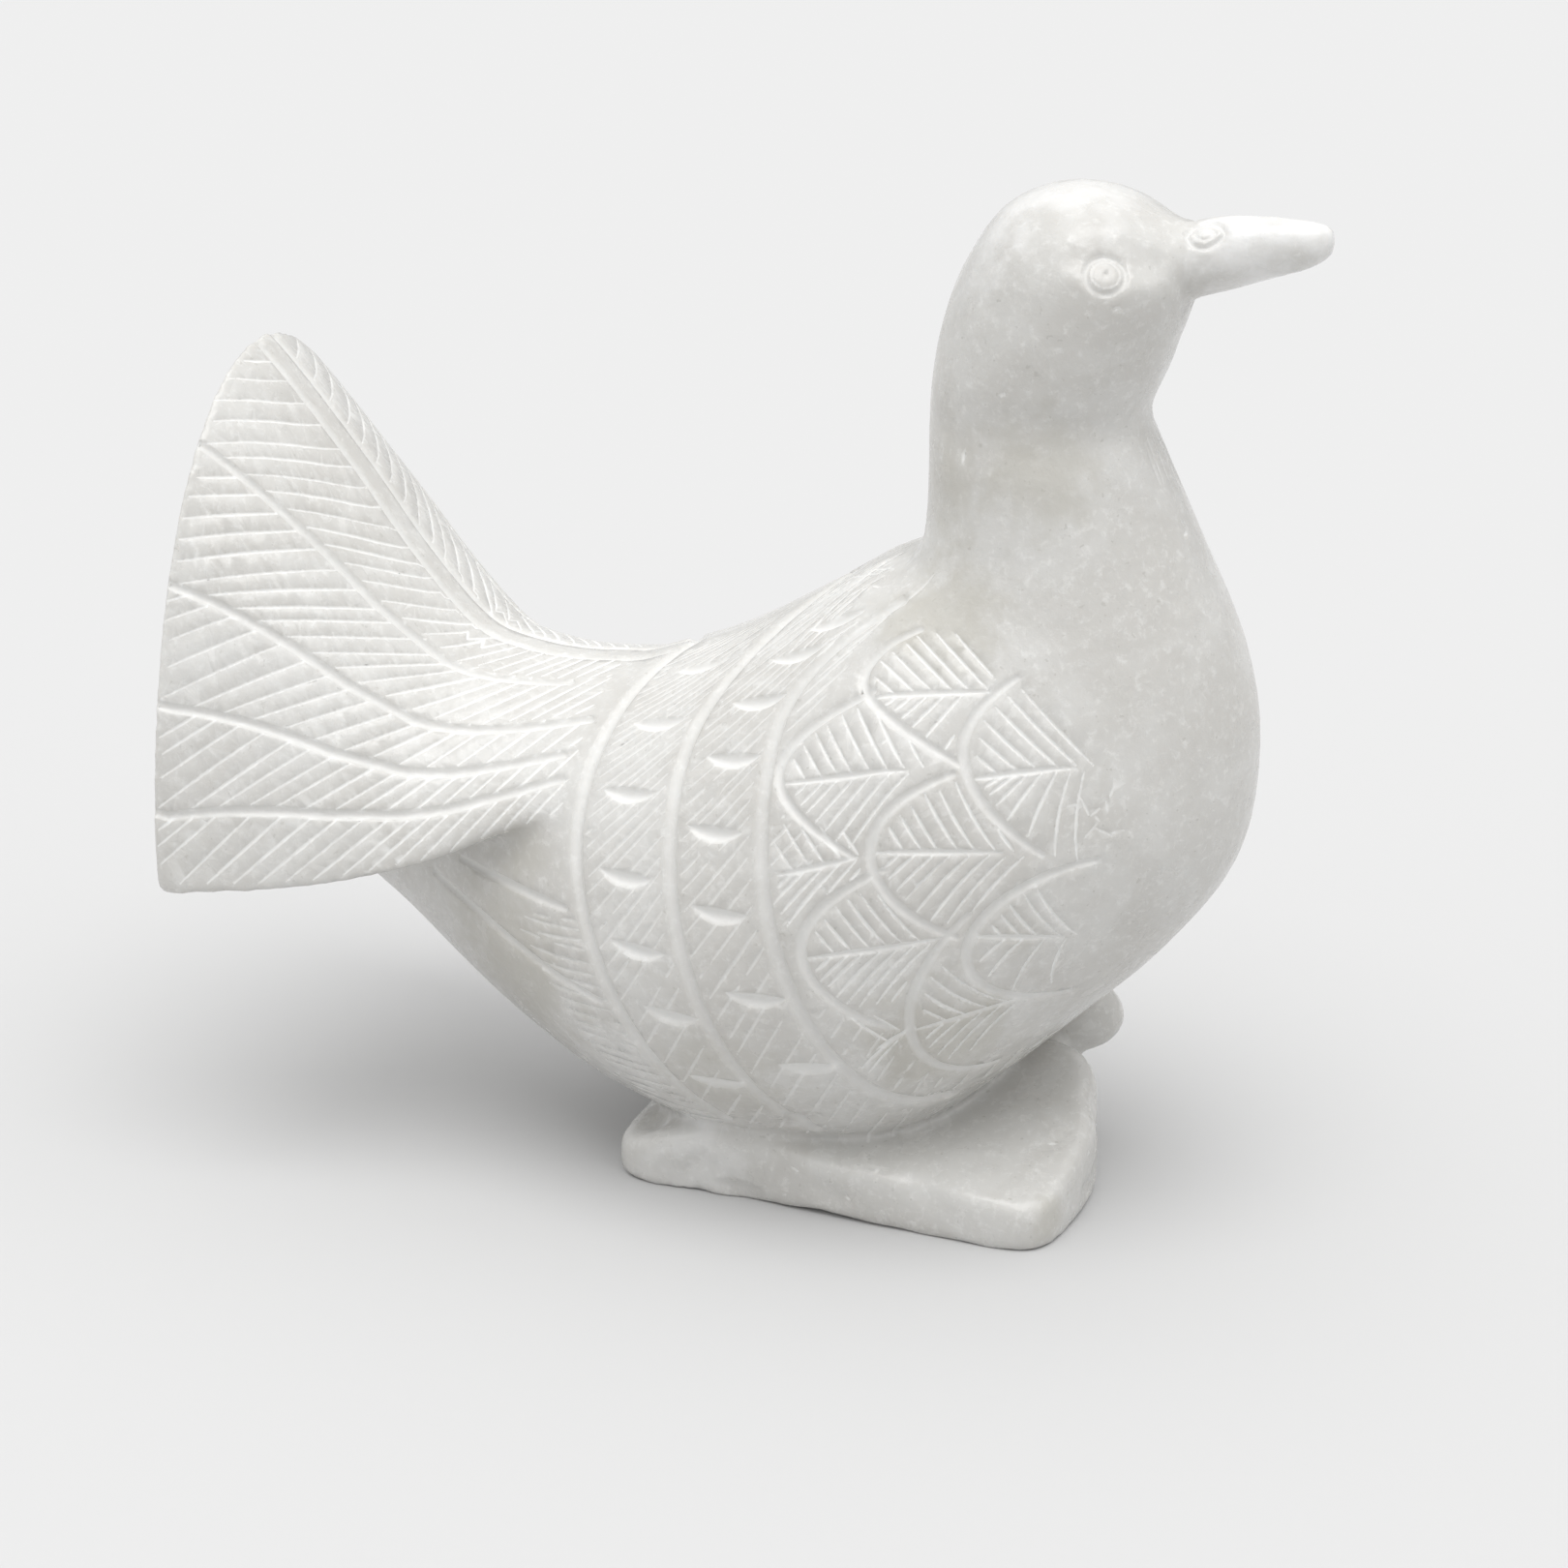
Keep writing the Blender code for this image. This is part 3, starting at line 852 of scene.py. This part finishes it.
def scratch(place, length, width, depth):
    """A short scratch in any direction, through the surface's point nearest to this place."""
    place, normal = surface.find_nearest(place)[:2]
    along = normal.orthogonal().normalized()
    across = normal.cross(along)
    turn = luck.uniform(0, math.pi)
    way = along * math.cos(turn) + across * math.sin(turn)
    line = [surface.find_nearest(place + way * run)[0] for run in steps(-length / 2, length / 2, 4)]
    groove(line, width / 2, depth, taper=0.6, rough=0.8)


for i in range(CHIPS):
    turn = luck.uniform(0, 2 * math.pi)
    if i % 3:
        x, y = ROCK_REACH[0] * math.cos(turn), ROCK_REACH[1] * math.sin(turn)
        place = Vector((x, y, luck.uniform(0.003, 0.045)))
    else:
        place = Vector((0.05 + 0.1 * math.cos(turn), 0.12 * math.sin(turn), luck.uniform(0.06, 0.36)))
    length, width = luck.uniform(*CHIP_LENGTHS), luck.uniform(*CHIP_WIDTHS)
    scratch(place, length, width, luck.uniform(*CHIP_DEPTHS))
for _ in range(SCRATCHES):
    aside = [luck.uniform(-SCRATCH_SPREAD, SCRATCH_SPREAD) for _ in range(3)]
    place = Vector(SCRATCHED) + Vector(aside)
    scratch(place, luck.uniform(0.003, 0.008), 0.0012, 0.0004)


# The cutting
# Each cut above is sunk into the polished surface with a round bed, and leaves its mark of how
# rough and white the stone is there.

SAMPLE = 0.0004
HOLLOW_SAMPLE = 0.002
TRIANGLES = 190000
FINE_ROUND = 4  # smoothing passes over the finer surface
BED_SPREAD = 1.7  # how far up its sides a bed is white, where 1 is only at its bottom


def grown(place):
    """A tree of points to search by distance."""
    tree = KDTree(len(place))
    for i, point in enumerate(place.tolist()):
        tree.insert(point, i)
    tree.balance()
    return tree


def refine(mesh, cuts):
    """Splits each face that a cut will touch into nine."""
    tree = grown(points_of(mesh))
    near = set()
    for line, half_width, *_ in cuts:
        for a, b in zip(line, line[1:]):
            count = math.ceil((b - a).length / FORM_CELL)
            for k in range(count + 1):
                found = tree.find_range(a.lerp(b, k / max(count, 1)), half_width + FORM_CELL)
                near.update(i for _, i, _ in found)
    bm = bmesh.new()
    bm.from_mesh(mesh)
    bm.verts.ensure_lookup_table()
    faces = {face for i in near for face in bm.verts[i].link_faces}
    edges = {edge for face in faces for edge in face.edges}
    bmesh.ops.subdivide_edges(bm, edges=list(edges), cuts=2, use_grid_fill=True)
    bm.to_mesh(mesh)
    bm.free()


refine(dove.data, grooves)
applied(dove, "SMOOTH", factor=SMOOTHING, iterations=FINE_ROUND)


def sunk(tree, cuts, sample):
    """How deep and how white the cuts leave each point of the tree."""
    sink = [0.0] * tree_size
    bed = [0.0] * tree_size
    for line, half_width, depth, taper, rough in cuts:
        reach = [0.0]
        for a, b in zip(line, line[1:]):
            reach.append(reach[-1] + (b - a).length)
        for i, (a, b) in enumerate(zip(line, line[1:])):
            count = max(1, round((b - a).length / sample))
            for k in range(count):
                share = (reach[i] + (b - a).length * k / count) / max(reach[-1], 1e-6)
                narrow = 1 - taper * (2 * share - 1) ** 2
                wide = half_width * narrow
                for _, at, distance in tree.find_range(a.lerp(b, k / count), wide):
                    fall = 1 - (distance / wide) ** 2
                    if not rough:
                        fall *= fall
                    sink[at] = max(sink[at], depth * narrow * fall)
                    bed[at] = max(bed[at], rough * min(1, BED_SPREAD * fall))
    return np.array(sink), bed


place = points_of(dove.data)
tree_size = len(place)
normal = np.empty(tree_size * 3)
dove.data.vertex_normals.foreach_get("vector", normal)
skin = grown(place)
cut_sink, bed = sunk(skin, grooves, SAMPLE)
hollow_sink, _ = sunk(skin, hollows, HOLLOW_SAMPLE)
place -= normal.reshape(-1, 3) * (cut_sink + hollow_sink)[:, None]
dove.data.vertices.foreach_set("co", place.ravel())
dove.data.attributes.new("cut", "FLOAT", "POINT").data.foreach_set("value", bed)
triangles = len(dove.data.loops) - 2 * len(dove.data.polygons)
applied(dove, "DECIMATE", ratio=TRIANGLES / triangles)
dove.data.polygons.foreach_set("use_smooth", [True] * len(dove.data.polygons))


# The marble's finish
# Polished white marble, faintly clouded and veined with grey, slightly see-through at its skin.
# The beds of the cuts are bruised, so they are whiter and dull.


def node(tree, kind, **inputs):
    made = tree.nodes.new(kind)
    for name, value in inputs.items():
        made.inputs[name.replace("_", " ")].default_value = value
    return made


marble = bpy.data.materials.new("dove_marble")
marble.use_nodes = True
nodes, links = marble.node_tree.nodes, marble.node_tree.links
nodes.clear()
tree = marble.node_tree


def mixed(factor, one, two, blend="MIX"):
    made = nodes.new("ShaderNodeMix")
    made.data_type = "RGBA"
    made.blend_type = blend
    for socket, value in ((made.inputs[0], factor), (made.inputs[6], one), (made.inputs[7], two)):
        if isinstance(value, bpy.types.NodeSocket):
            links.new(value, socket)
        else:
            socket.default_value = value
    return made.outputs[2]


def ranged(value, low, high, to_low=0.0, to_high=1.0):
    made = node(tree, "ShaderNodeMapRange", From_Min=low, From_Max=high, To_Min=to_low, To_Max=to_high)
    made.interpolation_type = "SMOOTHSTEP"
    links.new(value, made.inputs["Value"])
    return made.outputs["Result"]


where = nodes.new("ShaderNodeTexCoord").outputs["Object"]


def noise(scale, detail=4.0, distortion=0.0, roughness=0.5):
    made = node(
        tree, "ShaderNodeTexNoise", Scale=scale, Detail=detail, Roughness=roughness, Distortion=distortion
    )
    links.new(where, made.inputs["Vector"])
    return made.outputs["Fac"]


LAND = (0.545, 0.535, 0.51, 1)
CLOUD = (0.605, 0.60, 0.58, 1)
VEIN = (0.42, 0.41, 0.38, 1)
BRUISED = (0.81, 0.81, 0.795, 1)
CLOUD_SCALE = 22
MOTTLE_SCALE = 260
SPECK_SCALE = 380
RUB_SCALE = 90
GRAIN_SCALE = 700
SWELL_SCALE = 55
LAND_ROUGHNESS = (0.16, 0.30)
CUT_ROUGHNESS = 0.75
SKIN_SHARE = 0.15  # how much of the light goes into the stone's skin
SKIN_DEPTH = 0.004

cloud = ranged(noise(CLOUD_SCALE, 6, 0.8, 0.6), 0.34, 0.66)
colour = mixed(cloud, LAND, CLOUD)
mottle = ranged(noise(MOTTLE_SCALE, 6, 0.3, 0.7), 0.50, 0.70, 0, 0.35)
colour = mixed(mottle, colour, BRUISED)
speck = ranged(noise(SPECK_SCALE, 2), 0.68, 0.75, 0, 0.5)
colour = mixed(speck, colour, VEIN)

# Faint brown stains stay where the stone has them. The broad warm grey parts on the shoulder, the neck,
# under the cheek, on the rump and low on the breast and belly are painted shade, and the whiter crown,
# back of the head, beak, left face of the rock and flank of the tail are painted light.
# a warm grey for the faint stains and for the painted shade
STAIN_AND_SHADE = (0.42, 0.403, 0.35, 1)
# a white used only for painted light
PAINTED_LIGHT = (0.78, 0.78, 0.775, 1)
RAGGED = 1.4  # how far a tint's edge wanders, in its radii
FADES = (0.9, 1.7)  # between which distances it fades
TINTS = (
    # place, radius, strength, colour
    # faint brown stains of the stone
    ((0.0915, -0.0590, 0.0110), 0.013, 0.40, STAIN_AND_SHADE),
    ((0.0810, -0.0770, 0.1340), 0.014, 0.20, STAIN_AND_SHADE),
    ((0.0660, -0.0745, 0.1010), 0.012, 0.15, STAIN_AND_SHADE),
    ((0.1430, -0.0096, 0.3660), 0.002, 0.50, STAIN_AND_SHADE),
    ((0.1640, -0.0045, 0.3706), 0.004, 0.25, STAIN_AND_SHADE),
    ((-0.1134, -0.0710, 0.1364), 0.018, 0.30, STAIN_AND_SHADE),
    # painted shade: broad warm grey parts where the bird lies in shade, on the shoulder, the neck, under
    # the cheek, the rump, the low breast and the belly
    ((0.0440, -0.0550, 0.2400), 0.034, 0.55, STAIN_AND_SHADE),
    ((0.0330, -0.0430, 0.2850), 0.030, 0.42, STAIN_AND_SHADE),
    ((0.0750, -0.0430, 0.2950), 0.030, 0.45, STAIN_AND_SHADE),
    ((-0.1200, -0.0600, 0.0900), 0.050, 0.50, STAIN_AND_SHADE),
    ((0.0500, -0.0800, 0.0850), 0.040, 0.45, STAIN_AND_SHADE),
    ((-0.0300, -0.0850, 0.0600), 0.040, 0.30, STAIN_AND_SHADE),
    # painted light: the crown, the back of the head, the rock's left face, the beak and the tail's flank
    # made whiter
    ((0.0700, 0.0000, 0.3850), 0.045, 0.50, PAINTED_LIGHT),
    ((0.0420, -0.0200, 0.3700), 0.030, 0.35, PAINTED_LIGHT),
    ((-0.0500, -0.0700, 0.0150), 0.035, 0.40, PAINTED_LIGHT),
    ((0.1400, 0.0000, 0.3720), 0.030, 0.80, PAINTED_LIGHT),
    ((0.1750, 0.0000, 0.3720), 0.025, 0.80, PAINTED_LIGHT),
    ((-0.2300, -0.0900, 0.1900), 0.060, 0.10, PAINTED_LIGHT),
)


def spot(place, radius, strength):
    """How strong a tint is, from 1 in its middle to 0 at its ragged edge: a stain, a patch of painted
    shade or a patch of painted light.
    """
    away = nodes.new("ShaderNodeVectorMath")
    away.operation = "DISTANCE"
    away.inputs[1].default_value = place
    links.new(where, away.inputs[0])
    ragged = nodes.new("ShaderNodeMath")
    ragged.operation = "MULTIPLY_ADD"
    ragged.inputs[1].default_value = RAGGED * radius
    links.new(noise(RUB_SCALE, 4), ragged.inputs[0])
    links.new(away.outputs["Value"], ragged.inputs[2])
    return ranged(ragged.outputs[0], FADES[0] * radius, FADES[1] * radius, strength, 0)


# each tint mixes in a stain, painted shade or painted light
for place, radius, strength, tint in TINTS:
    colour = mixed(spot(place, radius, strength), colour, tint)

cut = nodes.new("ShaderNodeAttribute")
cut.attribute_name = "cut"
cut = cut.outputs["Fac"]
colour = mixed(cut, colour, BRUISED)

shader = node(tree, "ShaderNodeBsdfPrincipled", IOR=1.5)
shader.inputs["Subsurface Weight"].default_value = SKIN_SHARE
shader.inputs["Subsurface Radius"].default_value = (1.0, 0.9, 0.8)
shader.inputs["Subsurface Scale"].default_value = SKIN_DEPTH
links.new(colour, shader.inputs["Base Color"])

land_rough = ranged(noise(RUB_SCALE, 4), 0.3, 0.7, *LAND_ROUGHNESS)
rough = nodes.new("ShaderNodeMix")
rough.data_type = "FLOAT"
links.new(cut, rough.inputs[0])
links.new(land_rough, rough.inputs[2])
rough.inputs[3].default_value = CUT_ROUGHNESS
links.new(rough.outputs[0], shader.inputs["Roughness"])

grain = node(tree, "ShaderNodeBump", Strength=0.15, Distance=0.0006)
links.new(noise(GRAIN_SCALE, 3), grain.inputs["Height"])
swell = node(tree, "ShaderNodeBump", Strength=0.25, Distance=0.004)
links.new(noise(SWELL_SCALE, 3), swell.inputs["Height"])
links.new(swell.outputs["Normal"], grain.inputs["Normal"])
links.new(grain.outputs["Normal"], shader.inputs["Normal"])

output = nodes.new("ShaderNodeOutputMaterial")
links.new(shader.outputs["BSDF"], output.inputs["Surface"])
dove.data.materials.clear()
dove.data.materials.append(marble)

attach(dove, "root")
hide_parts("dove")


# The floor and the light
# A plain pale floor under a soft sky that is brightest overhead, with one broad key from above.

FLOOR_REACH = 12
SKY_LOW = 0.40
SKY_TOP = 1.50
KEY_STRENGTH = 1.3
KEY_WIDTH = math.radians(45)
KEY_FROM = (0.12, -0.3, 1.1)
FLOOR_COLOUR = (0.565, 0.565, 0.565, 1)

bpy.ops.mesh.primitive_plane_add(size=2 * FLOOR_REACH)
floor = bpy.context.object
floor.name = "floor"
paint = bpy.data.materials.new("floor_paint")
paint.use_nodes = True
paint.node_tree.nodes["Principled BSDF"].inputs["Base Color"].default_value = FLOOR_COLOUR
paint.node_tree.nodes["Principled BSDF"].inputs["Roughness"].default_value = 1
paint.node_tree.nodes["Principled BSDF"].inputs["Specular IOR Level"].default_value = 0
floor.data.materials.append(paint)

world = bpy.data.worlds.new("soft_light")
bpy.context.scene.world = world
world.use_nodes = True
sky = world.node_tree
toward = sky.nodes.new("ShaderNodeTexCoord").outputs["Generated"]
height = sky.nodes.new("ShaderNodeSeparateXYZ")
sky.links.new(toward, height.inputs["Vector"])
rise = node(sky, "ShaderNodeMapRange", From_Min=0, From_Max=1, To_Min=SKY_LOW, To_Max=SKY_TOP)
sky.links.new(height.outputs["Z"], rise.inputs["Value"])
sky.nodes["Background"].inputs["Color"].default_value = (1, 1, 1, 1)
sky.links.new(rise.outputs["Result"], sky.nodes["Background"].inputs["Strength"])

sun = bpy.data.lights.new("key", "SUN")
sun.energy = KEY_STRENGTH
sun.angle = KEY_WIDTH
key = bpy.data.objects.new("key", sun)
key.rotation_euler = Vector(KEY_FROM).to_track_quat("Z", "Y").to_euler()
bpy.context.scene.collection.objects.link(key)

bpy.context.scene.view_settings.view_transform = "Standard"


# The camera
# It stands in front of the bird's near side, a little above it, as the photograph was taken.

CAMERA_AIM = Vector((-0.036, 0.0, 0.149))
CAMERA_DISTANCE = 1.40
CAMERA_AZIMUTH = 20
CAMERA_ELEVATION = 20
CAMERA_LENS = 82.96
CAMERA_SENSOR = 36

lens = bpy.data.cameras.new("camera")
lens.lens = CAMERA_LENS
lens.sensor_width = CAMERA_SENSOR
camera = bpy.data.objects.new("camera", lens)
around, above = math.radians(CAMERA_AZIMUTH), math.radians(CAMERA_ELEVATION)
away = Vector(
    (math.sin(around) * math.cos(above), -math.cos(around) * math.cos(above), math.sin(above))
)
camera.location = CAMERA_AIM + CAMERA_DISTANCE * away
camera.rotation_euler = (-away).to_track_quat("-Z", "Y").to_euler()
bpy.context.scene.collection.objects.link(camera)
bpy.context.scene.camera = camera
